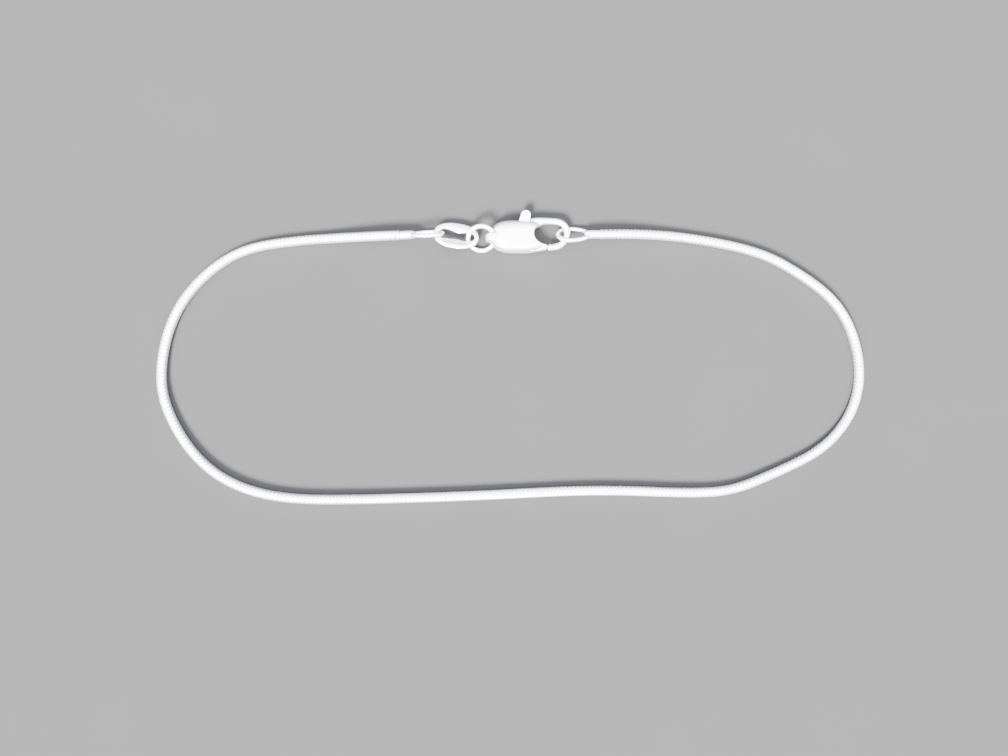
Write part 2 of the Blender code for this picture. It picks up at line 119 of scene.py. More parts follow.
# The jump ring, with the seam where its wire was closed
RING_DIAMETER = 3.55 * MM
RING_WIRE = 0.53 * MM
RING_HEIGHT = 1.18 * MM
RING_ROLL = math.radians(-36.0)
RING_SIDE = -0.10 * MM
RING_SEAT = 0.07 * MM
RING_MIDDLE_RADIUS = (RING_DIAMETER - RING_WIRE) / 2.0
SEAM_PLACE = 4.2                    # where on the ring, as an angle in radians
SEAM_WIDTH = 0.03
SEAM_DEPTH = 0.10                   # share of the wire's thickness

# The clasp and its lever, in the clasp's frame
PIVOT = (0.85 * MM, 13.77 * MM)
CLASP_MIDDLE = 1.10 * MM
CLASP_PLACE = Vector((*PIVOT, CLASP_MIDDLE))
BODY_FRONT = 2.90 * MM
BODY_WIDTH = 3.80 * MM
BODY_THICKNESS = 2.32 * MM
BODY_TAIL = 3.45 * MM
BODY_BLUNTNESS = 3.0
BODY_CROWN = 1.15                   # above 1, the dome falls away a little more towards its rim
BODY_LENGTH = BODY_TAIL + BODY_FRONT
OPENING_DIAMETER = 2.24 * MM
OPENING_AHEAD = 2.54 * MM
OPENING_SIDE = 0.24 * MM
HOOK_WIRE = 0.72 * MM
HOOK_ROOT_WIRE = 0.95 * MM
HOOK_TAPER = 0.35                   # share of the hook over which it thins
HOOK_REACH = 5.32 * MM
HOOK_HALF_HEIGHT = 1.86 * MM
HOOK_LINE = [
    (0.12, 0.86), (0.30, 0.97), (0.50, 1.00), (0.70, 0.99), (0.86, 0.90), (0.96, 0.66),
    (1.00, 0.34), (0.985, 0.02), (0.93, -0.28), (0.84, -0.52), (0.72, -0.63), (0.58, -0.655),
]
EYE_DISTANCE = 3.12 * MM
EYE_DIAMETER = 2.00 * MM
EYE_HOLE = 1.30 * MM
EYE_THICKNESS = 1.00 * MM
EYE_SIDE = -0.13 * MM
LEVER_THICKNESS = 0.90 * MM
LEVER_HUB = 1.50 * MM
LEVER_TRAVEL = math.radians(20.0)
GATE_WIDTH = 0.62 * MM
GATE_ROOT_WIDTH = 0.98 * MM
GATE_ROOT_SIDE = -1.26 * MM
GATE_REACH = 3.02 * MM
GATE_SIDE = -1.22 * MM
NUB_WIDTH = 1.12 * MM
NUB_REACH = 3.04 * MM
NUB_LEAN = 0.55 * MM
GAP = 0.06 * MM
GROOVE_GAP = 0.10 * MM
LINK_SLACK = 0.46 * MM
HOOK_SLACK = 0.50 * MM

# How coarsely castings are fused, and how often their joins are smoothed
FITTING_GRAIN = 0.035 * MM
CASTING_GRAIN = 0.05 * MM
FITTING_ROUNDS = 6
LEVER_ROUNDS = 10
CASTING_ROUNDS = 8
SHARP_EDGE = math.radians(38.0)

# Colours of the finishes, and of the painted shade in the chain's grooves and core; a pair is the two
# ends of a slow change over the surface
SILVER_TINT = (0.96, 0.955, 0.95)
TARNISH_TINT = (0.93, 0.90, 0.86)
CROWN_TINTS = ((0.98, 0.975, 0.96), (0.965, 0.97, 0.98))
# painted shade: the dark colour laid into the chain's grooves between the rings
GROOVE_PAINTED_SHADE_TINT = (0.30, 0.29, 0.30)
# painted shade: the chain's core is coloured dark for the shade inside the chain
CORE_PAINTED_SHADE_TINTS = ((0.36, 0.35, 0.36), (0.48, 0.47, 0.46))
STEEL_TINTS = ((0.62, 0.62, 0.63), (0.74, 0.74, 0.74))
FLOOR_TINTS = ((0.0265, 0.0265, 0.0275), (0.0290, 0.0290, 0.0300))

# The light of the surroundings: bright overhead, dimmer at the horizon, cool and dim at the far side
ZENITH_LIGHT = (11.2, 11.4, 11.9)
HORIZON_LIGHT = (3.3, 3.4, 3.6)
FAR_LIGHT = (2.3, 2.7, 3.5)
ZENITH_STARTS = 0.65                # upward share of a direction from which the sky is at its brightest
FAR_SIDE = (0.30, 0.95)             # far share of a direction: where the dim side starts, and is full
KEY_STRENGTH = 75.0
KEY_SPREAD = math.radians(18.0)
KEY_TINT = (1.0, 0.95, 0.89)
KEY_DIRECTION = Vector((0.12, 0.28, -0.30))
FLOOR_SIZE = 4.0

# The photograph's camera
FRAME_WIDTH = 1008.0
FOCAL_PIXELS = 780.0
CAMERA_DISTANCE = 89.2 * MM
CAMERA_AIM = Vector((-1.09, -2.45, 0.55)) * MM
CAMERA_TILT = (math.radians(1.4), math.radians(3.5))
SENSOR_WIDTH = 36.0
NEAREST_SEEN = 0.001
FARTHEST_SEEN = 10.0

FULL_TURN = 2.0 * math.pi
TINY = 1e-7                         # radius of a ring of points that closes to a point


class Shade:
    """A shader's number or colour: arithmetic on it adds the Math nodes that work it out."""

    def __init__(self, bench, socket):
        self.bench = bench
        self.socket = socket

    def maths(self, operation, *values):
        return self.bench.node("ShaderNodeMath", {"operation": operation}, values)

    def __add__(self, other):
        return self.maths("ADD", self, other)

    __radd__ = __add__

    def __mul__(self, other):
        return self.maths("MULTIPLY", self, other)

    __rmul__ = __mul__


class Bench:
    """Somewhere to lay out nodes."""

    def __init__(self, tree):
        self.tree = tree

    def node(self, kind, settings, values, output=0):
        """Adds a node: first its settings, then its sockets' values or links. Returns one output."""
        made = self.tree.nodes.new(kind)
        for name, value in settings.items():
            setattr(made, name, value)
        pairs = values.items() if isinstance(values, dict) else enumerate(values)
        for socket, value in pairs:
            if isinstance(value, Shade):
                self.tree.links.new(value.socket, made.inputs[socket])
            else:
                made.inputs[socket].default_value = value
        return Shade(self, made.outputs[output])

    def step(self, value, low, high):
        """Brings a value smoothly from 0 at low to 1 at high."""
        return self.node("ShaderNodeMapRange", {"interpolation_type": "SMOOTHSTEP"}, {
            "Value": value, "From Min": low, "From Max": high, "To Min": 0.0, "To Max": 1.0})

    def blend(self, share, first, second):
        """Mixes two colours."""
        made = self.node("ShaderNodeMix", {"data_type": "RGBA"}, {0: share}, 2)
        mixer = made.socket.node
        for socket, tint in ((6, first), (7, second)):
            if isinstance(tint, Shade):
                self.tree.links.new(tint.socket, mixer.inputs[socket])
            else:
                mixer.inputs[socket].default_value = (*tint, 1.0)
        return made


class Recipe(Bench):
    """A finish and the nodes that make it."""

    def __init__(self, name, **constants):
        self.material = bpy.data.materials.new(name)
        self.material.use_nodes = True
        super().__init__(self.material.node_tree)
        self.shader = self.tree.nodes["Principled BSDF"]
        for socket, value in constants.items():
            self.shader.inputs[socket.replace("_", " ")].default_value = value

    def place(self):
        """Position on the piece, in its own coordinates."""
        return self.node("ShaderNodeTexCoord", {}, {}, "Object")

    def stretched(self, scale, turn=(0.0, 0.0, 0.0)):
        """Position with the axes scaled and turned, for streaks."""
        return self.node("ShaderNodeMapping", {}, {
            "Vector": self.place(), "Scale": scale, "Rotation": turn})

    def cloud(self, scale, detail=3.0, where=None):
        """Soft noise from 0 to 1."""
        return self.node("ShaderNodeTexNoise", {}, {
            "Vector": where or self.place(), "Scale": scale, "Detail": detail})

    def feed(self, **links):
        """Links values to the shader's sockets, named with underscores."""
        for name, value in links.items():
            self.tree.links.new(value.socket, self.shader.inputs[name.replace("_", " ")])
        return self.material

    def bump(self, height, distance, strength=1.0, under=None):
        """Relief from a height, on top of another relief if one is given."""
        values = {"Height": height, "Distance": distance, "Strength": strength}
        if under is not None:
            values["Normal"] = under
        return self.node("ShaderNodeBump", {}, values)


# The scales of the noises below are in waves to a metre: 900 makes patches about a millimetre wide


def polished_silver():
    """Cast and polished silver, with polishing lines, a little wear and a breath of tarnish."""
    recipe = Recipe("bright_silver", Metallic=0.9)
    patches = recipe.step(recipe.cloud(900.0, 4.0), 0.35, 0.75)
    fine = recipe.cloud(5200.0, 2.0)
    colour = recipe.blend(patches * 0.35, SILVER_TINT, TARNISH_TINT)
    lines = recipe.cloud(1.0, 3.0, recipe.stretched((600.0, 9000.0, 9000.0), (0.0, 0.0, 0.5)))
    roughness = 0.17 + patches * 0.08 + recipe.step(lines, 0.5, 0.72) * 0.10
    soft = recipe.bump(recipe.cloud(1400.0, 1.0), 0.02 * MM, 0.5)
    scratched = recipe.bump(lines + fine * 0.4, 0.004 * MM, 0.5, soft)
    return recipe.feed(Base_Color=colour, Roughness=roughness, Normal=scratched)


def chain_silver():
    """Silver of the wavy rings: painted shade darkens the grooves between them, which are also rougher.
    """
    recipe = Recipe("chain_silver", Metallic=0.93)
    groove = recipe.node("ShaderNodeAttribute", {"attribute_name": "groove"}, {}, "Fac")
    drift = recipe.step(recipe.cloud(260.0, 3.0), 0.35, 0.7)
    specks = recipe.step(recipe.cloud(7000.0, 2.0), 0.55, 0.75)
    # painted shade: the grooves are coloured dark, towards the groove tint
    colour = recipe.blend(groove, recipe.blend(drift, *CROWN_TINTS), GROOVE_PAINTED_SHADE_TINT)
    roughness = 0.26 + groove * 0.16 + specks * 0.08 + drift * 0.04
    relief = recipe.bump(recipe.cloud(9000.0, 2.0), 0.004 * MM, 0.4)
    return recipe.feed(Base_Color=colour, Roughness=roughness, Normal=relief)


def chain_core():
    """The inside of the chain, coloured dark as painted shade."""
    recipe = Recipe("chain_core", Metallic=1.0)
    shade_colour = recipe.blend(recipe.cloud(1500.0), *CORE_PAINTED_SHADE_TINTS)
    return recipe.feed(Base_Color=shade_colour, Roughness=0.38 + recipe.cloud(3000.0) * 0.15)


def pin_steel():
    """Steel of the hidden pin."""
    recipe = Recipe("pin_steel", Metallic=1.0)
    turned = recipe.cloud(1.0, 2.0, recipe.stretched((800.0, 800.0, 12000.0)))
    return recipe.feed(Base_Color=recipe.blend(turned, *STEEL_TINTS), Roughness=0.24 + turned * 0.14)


def matt_floor():
    """The floor's matt paint. Its tone is low because the light is strong: it shows pale."""
    recipe = Recipe("pale_floor", Roughness=0.85, Specular_IOR_Level=0.0)
    return recipe.feed(Base_Color=recipe.blend(recipe.cloud(60.0, 4.0), *FLOOR_TINTS))


def object_of(name, data):
    """Puts data into the scene as an object, which may be a working one that goes before the end."""
    item = bpy.data.objects.new(name, data)
    bpy.context.scene.collection.objects.link(item)
    return item


def add_piece(name, mesh, body, material, nodes):
    """Makes a shown piece that rides on a body and stands for solids of the frame, if any."""
    piece = object_of(name, mesh)
    mesh.materials.clear()
    mesh.materials.append(material)
    mesh.shade_smooth()
    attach(piece, body)
    if nodes:
        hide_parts(*nodes)


def mesh_of(name, corners, faces):
    """A mesh with its faces turned outwards."""
    mesh = bpy.data.meshes.new(name)
    mesh.from_pydata(corners, [], faces)
    build = bmesh.new()
    build.from_mesh(mesh)
    bmesh.ops.recalc_face_normals(build, faces=build.faces)
    build.to_mesh(mesh)
    build.free()
    return mesh


def grid_mesh(name, rings, closed_along, caps=False):
    """A skin over rings of points, each ring closed; the rings join round again when closed_along."""
    rings = np.asarray(rings, float)
    count, around = rings.shape[:2]
    spans = count if closed_along else count - 1
    faces = []
    for i in range(spans):
        a, b = i * around, ((i + 1) % count) * around
        for j in range(around):
            k = (j + 1) % around
            faces.append((a + j, a + k, b + k, b + j))
    if caps:
        faces.append(tuple(reversed(range(around))))
        faces.append(tuple((count - 1) * around + j for j in range(around)))
    return mesh_of(name, rings.reshape(-1, 3).tolist(), faces)


def signed_power(value, power):
    """Raises the size of a number to a power and keeps its sign."""
    return math.copysign(abs(value) ** power, value)


def spline_reader(points):
    """Returns a natural cubic spline through the points, as a function of distance, and its length."""
    points = np.asarray(points, float)
    spans = np.linalg.norm(np.diff(points, axis=0), axis=1)
    knots = np.concatenate([[0.0], np.cumsum(spans)])
    count = len(points)
    system = np.eye(count)
    right = np.zeros_like(points)
    for i in range(1, count - 1):
        before, after = spans[i - 1], spans[i]
        system[i, i - 1:i + 2] = before, 2.0 * (before + after), after
        right[i] = 6.0 * ((points[i + 1] - points[i]) / after - (points[i] - points[i - 1]) / before)
    bend = np.linalg.solve(system, right)

    def at(distance):
        i = min(max(int(np.searchsorted(knots, distance)) - 1, 0), count - 2)
        span = spans[i]
        a = (knots[i + 1] - distance) / span
        b = 1.0 - a
        curve = ((a ** 3 - a) * bend[i] + (b ** 3 - b) * bend[i + 1]) * span ** 2 / 6.0
        return a * points[i] + b * points[i + 1] + curve

    return at, knots[-1]


def turns_of(count):
    """Angles evenly round a whole turn."""
    return np.linspace(0.0, FULL_TURN, count, endpoint=False)


def tube_rings(line, radii, sides):
    """Rings of points round a line, square to it, with no twist."""
    line = np.asarray(line, float)
    ahead = np.gradient(line, axis=0)
    ahead /= np.linalg.norm(ahead, axis=1)[:, None]
    side = np.cross(ahead[0], (0.0, 0.0, 1.0))
    if np.linalg.norm(side) < 1e-6:
        side = np.array((1.0, 0.0, 0.0))
    angles = turns_of(sides)
    rings = []
    for point, forward, radius in zip(line, ahead, radii):
        side = side - forward * np.dot(side, forward)
        side /= np.linalg.norm(side)
        upward = np.cross(side, forward)
        rings.append([point + radius * (side * math.cos(a) + upward * math.sin(a)) for a in angles])
    return rings


def placed_points():
    """Places of the links, worked out from the clasp outwards as in the solids."""
    eye = CLASP_PLACE + Vector((-EYE_DISTANCE, EYE_SIDE, 0.0))
    ring = Vector((eye.x - RING_MIDDLE_RADIUS + RING_SEAT, eye.y + RING_SIDE, RING_HEIGHT))
    ring_left = ring.x - RING_MIDDLE_RADIUS + RING_WIRE / 2.0
    oval_middle = ring_left + LINK_SLACK + OVAL_WIRE - OVAL_LENGTH / 2.0
    oval = Vector((oval_middle, eye.y + OVAL_SIDE, OVAL_HEIGHT))
    reach = (OVAL_LENGTH / 2.0 - OVAL_WIRE) * Vector((math.cos(OVAL_TURN), math.sin(OVAL_TURN), 0.0))
    left_tip = oval - reach + Vector((TIP_SLACK + LOOP_WIRE, 0.0, LEFT_HEIGHT - OVAL_HEIGHT))
    left_end = left_tip - Vector((END_LENGTH, LEFT_LEAN, 0.0))
    nose = CLASP_PLACE.x + HOOK_REACH - HOOK_WIRE / 2.0
    right_tip = Vector((nose - HOOK_SLACK - LOOP_WIRE, CLASP_PLACE.y + RIGHT_SIDE, RIGHT_HEIGHT))
    right_end = right_tip + Vector((END_LENGTH, RIGHT_LEAN, 0.0))
    return {"ring": ring, "oval": oval, "left_tip": left_tip, "left_end": left_end,
            "right_tip": right_tip, "right_end": right_end}


AT = placed_points()


def end_frame(chain_end, towards, roll):
    """Matrix of an end piece: origin at the chain's end, X to the loop's tip, rolled about X."""
    along = (towards - chain_end).normalized()
    across = Vector((0.0, 0.0, 1.0)).cross(along).normalized()
    upward = along.cross(across)
    base = Matrix((along, across, upward)).transposed().to_4x4()
    return Matrix.Translation(chain_end) @ base @ Matrix.Rotation(roll, 4, "X")


def chain_centreline():
    """Points of the chain's middle line, as its solid has them."""
    rest = CHAIN_DIAMETER / 2.0
    left = AT["left_end"] - Vector((GAP, 0.0, 0.0))
    right = AT["right_end"] + Vector((GAP, 0.0, 0.0))
    flat = [(x * MM, y * MM, rest) for x, y in CHAIN_ROUTE]
    at, length = spline_reader([tuple(left), *flat, tuple(right)])
    steps = round(length / CHAIN_POINT_STEP)
    line = [at(length * k / steps) for k in range(steps + 1)]
    lengths = np.concatenate([[0.0], np.cumsum(np.linalg.norm(np.diff(line, axis=0), axis=1))])
    raised = []
    for point, distance in zip(line, lengths):
        height = rest
        for end, away in ((left, distance), (right, lengths[-1] - distance)):
            share = max(0.0, 1.0 - away / CHAIN_RISE_LENGTH)
            height += (end.z - rest) * share * share * (3.0 - 2.0 * share)
        raised.append((point[0], point[1], height))
    return raised


def make_chain(material, core_material):
    """Every wavy ring of the snake chain, in one mesh, and the core inside them, dark with painted
    shade.
    """
    at, length = spline_reader(chain_centreline())
    fine = np.asarray([at(length * k / ROUTE_STEPS) for k in range(ROUTE_STEPS + 1)])
    distances = np.concatenate([[0.0], np.cumsum(np.linalg.norm(np.diff(fine, axis=0), axis=1))])
    whole = distances[-1]
    heading = np.gradient(fine, axis=0)
    heading /= np.linalg.norm(heading, axis=1)[:, None]

    def read(values, where):
        return np.stack([np.interp(where, distances, values[:, i]) for i in range(3)], axis=-1)

    links = int(whole / LINK_PITCH)
    pitch = whole / links
    around, across = LINK_POINTS_ROUND, LINK_POINTS_ACROSS
    turn, side = turns_of(around), turns_of(across)
    outward = np.sign(np.cos(side)) * np.abs(np.cos(side)) ** CROWN_BLUNTNESS
    forward = np.sign(np.sin(side)) * np.abs(np.sin(side)) ** FLANK_BLUNTNESS
    reach = CHAIN_DIAMETER / 2.0 - LINK_DEPTH * (1.0 - outward)
    sunk = np.clip(1.0 - outward, 0.0, 1.0)
    corners, faces, grooves = [], [], []
    for link in range(links):
        centre = pitch * (link + 0.5)
        room = min(centre, whole - centre) - pitch / 2.0
        twist = math.pi + FULL_TURN * max(0.0, centre / whole - TWIST_START) / TWIST_LENGTH
        swing = LINK_WAVE * min(room / (LINK_EASE * pitch), 1.0) * np.sin(2.0 * turn + twist)
        half = pitch * LINK_OVERLAP * forward
        along = np.clip(centre + swing[:, None] + half[None, :], 0.0, whole)
        middle = read(fine, along)
        ahead = read(heading, along)
        sideways = np.cross(ahead, (0.0, 0.0, 1.0))
        sideways /= np.linalg.norm(sideways, axis=2)[:, :, None]
        upward = np.cross(sideways, ahead)
        spoke = sideways * np.cos(turn)[:, None, None] + upward * np.sin(turn)[:, None, None]
        points = middle + spoke * reach[None, :, None]
        base = len(corners)
        corners.extend(points.reshape(-1, 3).tolist())
        # how far down each point lies towards the groove; the chain's finish paints shade there
        grooves.extend(np.tile(sunk, around).tolist())
        for i in range(around):
            here, there = base + i * across, base + (i + 1) % around * across
            for j in range(across):
                k = (j + 1) % across
                faces.append((here + j, there + j, there + k, here + k))
    mesh = mesh_of("snake_chain_links", corners, faces)
    layer = mesh.attributes.new("groove", "FLOAT", "POINT")
    layer.data.foreach_set("value", grooves)
    add_piece("snake_chain_links", mesh, "bracelet", material, ["chain"])

    # the core: a dark tube inside the rings, painted shade for the chain's shadowed inside
    line = read(fine, np.linspace(0.0, whole, CORE_STEPS + 1))
    skin = tube_rings(line, [CORE_DIAMETER / 2.0] * len(line), 12)
    core = grid_mesh("chain_core", skin, False, caps=True)
    add_piece("chain_core", core, "bracelet", core_material, [])


def loop_line(steps):
    """Middle line of an end piece's loop: from inside the neck round the tip and back."""
    half = (LOOP_WIDTH - LOOP_WIRE) / 2.0
    tip = END_LENGTH - LOOP_WIRE / 2.0
    widest = END_LENGTH - LOOP_TIP_LENGTH
    start = NECK_LENGTH * LOOP_START
    root = NECK_DIAMETER * LOOP_ROOT
    side_points, arc_points = 9, 13
    side = []
    for k in range(side_points):
        share = k / side_points
        swell = math.sin(share * math.pi / 2.0) ** LOOP_SWELL
        side.append((start + (widest - start) * share, root + (half - root) * swell, 0.0))
    arc = []
    for k in range(arc_points):
        angle = math.pi / 2.0 - math.pi * k / (arc_points - 1)
        arc.append((widest + (tip - widest) * math.cos(angle), half * math.sin(angle), 0.0))
    mirrored = [(x, -y, z) for x, y, z in reversed(side)]
    at, length = spline_reader(side + arc + mirrored)
    return [at(length * k / steps) for k in range(steps + 1)]


def make_end_piece(name, node, matrix, material):
    """Loop of wire soldered into a smooth rounded neck."""
    rings = []
    for along, share in NECK_PROFILE:
        radius = max(share * NECK_DIAMETER, TINY)
        rings.append([(along * NECK_LENGTH, radius * math.cos(a), radius * math.sin(a))
                      for a in turns_of(NECK_SIDES)])
    neck = grid_mesh("neck", rings, False, caps=True)
    line = loop_line(LOOP_STEPS)
    wire = grid_mesh("wire", tube_rings(line, [LOOP_WIRE / 2.0] * len(line), 20), False, caps=True)
    melted = melt(joined("end_blank", [neck, wire]), FITTING_GRAIN, FITTING_ROUNDS)
    melted.name = name
    melted.transform(matrix)
    add_piece(name, melted, "bracelet", material, [node])


def joined(name, meshes):
    """A working object that holds several shells."""
    build = bmesh.new()
    for mesh in meshes:
        build.from_mesh(mesh)
    shells = bpy.data.meshes.new(name)
    build.to_mesh(shells)
    build.free()
    return object_of(name, shells)


def finished(item):
    """An object's mesh with its modifiers applied."""
    return bpy.data.meshes.new_from_object(item.evaluated_get(bpy.context.evaluated_depsgraph_get()))


def melt(blank, grain, rounds):
    """Fuses the overlapping shells of a working object into one skin and softens the joins."""
    fuse = blank.modifiers.new("fuse", "REMESH")
    fuse.mode = "VOXEL"
    fuse.voxel_size = grain
    ease = blank.modifiers.new("ease", "SMOOTH")
    ease.factor = 0.5
    ease.iterations = rounds
    mesh = finished(blank)
    bpy.data.objects.remove(blank, do_unlink=True)
    return mesh


def ring_points(around, across, place):
    """Rings of points put by place(turn, side)."""
    return [[tuple(place(turn, side)) for side in turns_of(across)] for turn in turns_of(around)]


def make_oval_link(material):
    """Oval link of round wire, its long sides pressed flat into lens shaped plates."""
    power = 2.0 / OVAL_BLUNTNESS

    def place(turn, side):
        ahead = signed_power(math.cos(turn), power)
        beside = signed_power(math.sin(turn), power)
        rim = Vector((OVAL_LENGTH / 2.0 * ahead, OVAL_WIDTH / 2.0 * beside, 0.0))
        hole = Vector(((OVAL_LENGTH / 2.0 - OVAL_WIRE) * ahead, OVAL_HOLE_WIDTH / 2.0 * beside, 0.0))
        far_side = beside > 0.0
        peak, width = (OVAL_PLATE_SHIFT, OVAL_PLATE_SPREAD) if far_side else (0.0, OVAL_FACET_SPREAD)
        spread = math.exp(-((hole.x - peak) / width) ** 2)
        swell = OVAL_PLATE_SWELL * spread * min(1.0, 1.2 * abs(beside))
        hole.y -= math.copysign(swell, beside)
        middle = (rim + hole) / 2.0
        fade = min(abs(middle.x) / (OVAL_PLATE_REACH * OVAL_LENGTH), 1.0)
        pressed = 0.5 + 0.5 * math.cos(math.pi * fade)
        thickness = OVAL_WIRE + (OVAL_PLATE_THICKNESS - OVAL_WIRE) * pressed
        outward = signed_power(math.cos(side), OVAL_SECTION)
        height = thickness / 2.0 * signed_power(math.sin(side), OVAL_SECTION)
        if beside < 0.0:
            inward = max(OVAL_FACET_START - outward, 0.0) / (1.0 + OVAL_FACET_START)
            depth = OVAL_FACET_DEPTH * min(1.0, OVAL_FACET_REACH * pressed)
            height = min(height, thickness / 2.0 - depth * inward)
        return middle + (rim - middle) * outward + Vector((0.0, 0.0, height))

    mesh = grid_mesh("oval_link_bright", ring_points(180, 32, place), True)
    turn = Matrix.Rotation(OVAL_TURN, 4, "Z") @ Matrix.Rotation(-OVAL_ROLL, 4, "X")
    mesh.transform(Matrix.Translation(AT["oval"]) @ turn)
    add_piece("oval_link_bright", mesh, "bracelet", material, ["oval_link"])


def make_jump_ring(material):
    """Plain round ring with the fine seam where its wire was closed."""

    def place(turn, side):
        pinch = 1.0 - SEAM_DEPTH * math.exp(-((turn - SEAM_PLACE) / SEAM_WIDTH) ** 2)
        wire = RING_WIRE / 2.0 * pinch
        reach = RING_MIDDLE_RADIUS + wire * math.cos(side)
        return Vector((reach * math.cos(turn), reach * math.sin(turn), wire * math.sin(side)))

    mesh = grid_mesh("jump_ring_bright", ring_points(160, 28, place), True)
    mesh.transform(Matrix.Translation(AT["ring"]) @ Matrix.Rotation(-RING_ROLL, 4, "X"))
    add_piece("jump_ring_bright", mesh, "bracelet", material, ["jump_ring"])


def pillow_mesh():
    """The clasp's domed body, in the clasp's frame."""
    build = bmesh.new()
    bmesh.ops.create_uvsphere(build, u_segments=96, v_segments=48, radius=1.0)
    power = 2.0 / BODY_BLUNTNESS
    for vertex in build.verts:
        x, y, z = vertex.co
        flat = math.hypot(x, y)
        if flat > 1e-6:
            reach = math.sqrt(flat)
            vertex.co.x = BODY_LENGTH / 2.0 * signed_power(x / flat, power) * reach
            vertex.co.y = BODY_WIDTH / 2.0 * signed_power(y / flat, power) * reach
        vertex.co.x += BODY_LENGTH / 2.0 - BODY_TAIL
        vertex.co.z = BODY_THICKNESS / 2.0 * signed_power(z, BODY_CROWN)
    mesh = bpy.data.meshes.new("pillow")
    build.to_mesh(mesh)
    build.free()
    return mesh


def hook_mesh():
    """The hook's round bar, which thins towards its nose."""
    chosen = [(along * HOOK_REACH, across * HOOK_HALF_HEIGHT, 0.0) for along, across in HOOK_LINE]
    at, length = spline_reader(chosen)
    steps = 120
    line = [at(length * k / steps) for k in range(steps + 1)]
    radii = []
    for k in range(steps + 1):
        share = min(k / (HOOK_TAPER * steps), 1.0)
        radii.append((HOOK_ROOT_WIRE + (HOOK_WIRE - HOOK_ROOT_WIRE) * share) / 2.0)
    return grid_mesh("hook_bar", tube_rings(line, radii, 32), False, caps=True)


def eye_mesh():
    """The tail eye."""
    middle = (EYE_DIAMETER + EYE_HOLE) / 4.0
    wall = (EYE_DIAMETER - EYE_HOLE) / 4.0

    def place(turn, side):
        reach = middle + wall * math.cos(side)
        return Vector((reach * math.cos(turn) - EYE_DISTANCE,
                       EYE_SIDE + EYE_THICKNESS / 2.0 * math.sin(side), reach * math.sin(turn)))

    return grid_mesh("tail_eye", ring_points(96, 28, place), True)


def disc_plate(discs, thickness, sides=64):
    """A flat plate in the clasp's plane: the tightest outline round all the discs."""
    build = bmesh.new()
    for (x, y), diameter in discs:
        radius = diameter / 2.0
        for k in range(sides):
            angle = FULL_TURN * k / sides
            for z in (-thickness / 2.0, thickness / 2.0):
                build.verts.new((x + radius * math.cos(angle), y + radius * math.sin(angle), z))
    bmesh.ops.remove_doubles(build, verts=build.verts, dist=1e-8)
    hull = bmesh.ops.convex_hull(build, input=build.verts)
    bmesh.ops.delete(build, geom=hull["geom_interior"], context="VERTS")
    bmesh.ops.dissolve_limit(build, angle_limit=1e-3, verts=build.verts, edges=build.edges)
    bmesh.ops.recalc_face_normals(build, faces=build.faces)
    mesh = bpy.data.meshes.new("plate")
    build.to_mesh(mesh)
    build.free()
    return mesh


def lever_bars():
    """The lever's arms as pairs of round ends, each a centre and a diameter."""
    hub = ((0.0, 0.0), LEVER_HUB)
    bend = ((LEVER_HUB * 0.80, GATE_ROOT_SIDE), GATE_ROOT_WIDTH)
    return {
        "nub": [hub, ((NUB_LEAN, NUB_REACH - NUB_WIDTH / 2.0), NUB_WIDTH)],
        "root": [hub, bend],
        "gate": [bend, ((GATE_REACH - GATE_WIDTH / 2.0, GATE_SIDE), GATE_WIDTH)],
    }


def swept(discs, angle):
    """The discs at rest, halfway and turned by the angle, with the running gap."""
    moved = []
    for share in (0.0, 0.5, 1.0):
        turn = Matrix.Rotation(angle * share, 2)
        for centre, diameter in discs:
            moved.append((tuple(turn @ Vector(centre)), diameter + 2.0 * GAP))
    return moved


def carve(blank, tools, operation="DIFFERENCE"):
    """Cuts the tools out of the blank, or joins them to it, and keeps nothing but the new mesh."""
    for tool in tools:
        cut = blank.modifiers.new(tool.name, "BOOLEAN")
        cut.operation = operation
        cut.object = tool
    mesh = finished(blank)
    for item in [blank, *tools]:
        bpy.data.objects.remove(item, do_unlink=True)
    return mesh


def slot_tools():
    """The lever's room in the clasp, for the nub's swing and the gate's."""
    bars = lever_bars()
    thickness = LEVER_THICKNESS + 2.0 * GAP
    tools = []
    for part, discs in (("nub", bars["nub"]), ("gate", bars["root"] + bars["gate"][1:])):
        room = disc_plate(swept(discs, LEVER_TRAVEL), thickness, 32)
        tools.append(object_of(f"slot_{part}", room))
    return tools


def surface_tool():
    """All that would lie below the surface on which the clasp rests."""
    block = bmesh.new()
    bmesh.ops.create_cube(block, size=1.0)
    size = (BODY_LENGTH * 2.0, BODY_WIDTH * 2.0, BODY_THICKNESS)
    bmesh.ops.scale(block, vec=size, verts=block.verts)
    down = (0.0, 0.0, -CLASP_MIDDLE - BODY_THICKNESS / 2.0)
    bmesh.ops.translate(block, vec=down, verts=block.verts)
    slab = bpy.data.meshes.new("surface_cut")
    block.to_mesh(slab)
    block.free()
    return object_of("surface_cut", slab)


def groove_tool():
    """Room for the jump ring where it passes the body's tail."""
    wire = RING_WIRE / 2.0 + GROOVE_GAP

    def place(turn, side):
        reach = RING_MIDDLE_RADIUS + wire * math.cos(side)
        return Vector((reach * math.cos(turn), reach * math.sin(turn), wire * math.sin(side)))

    groove = grid_mesh("ring_groove", ring_points(96, 28, place), True)
    offset = AT["ring"] - CLASP_PLACE
    groove.transform(Matrix.Translation(offset) @ Matrix.Rotation(-RING_ROLL, 4, "X"))
    return object_of("ring_groove", groove)


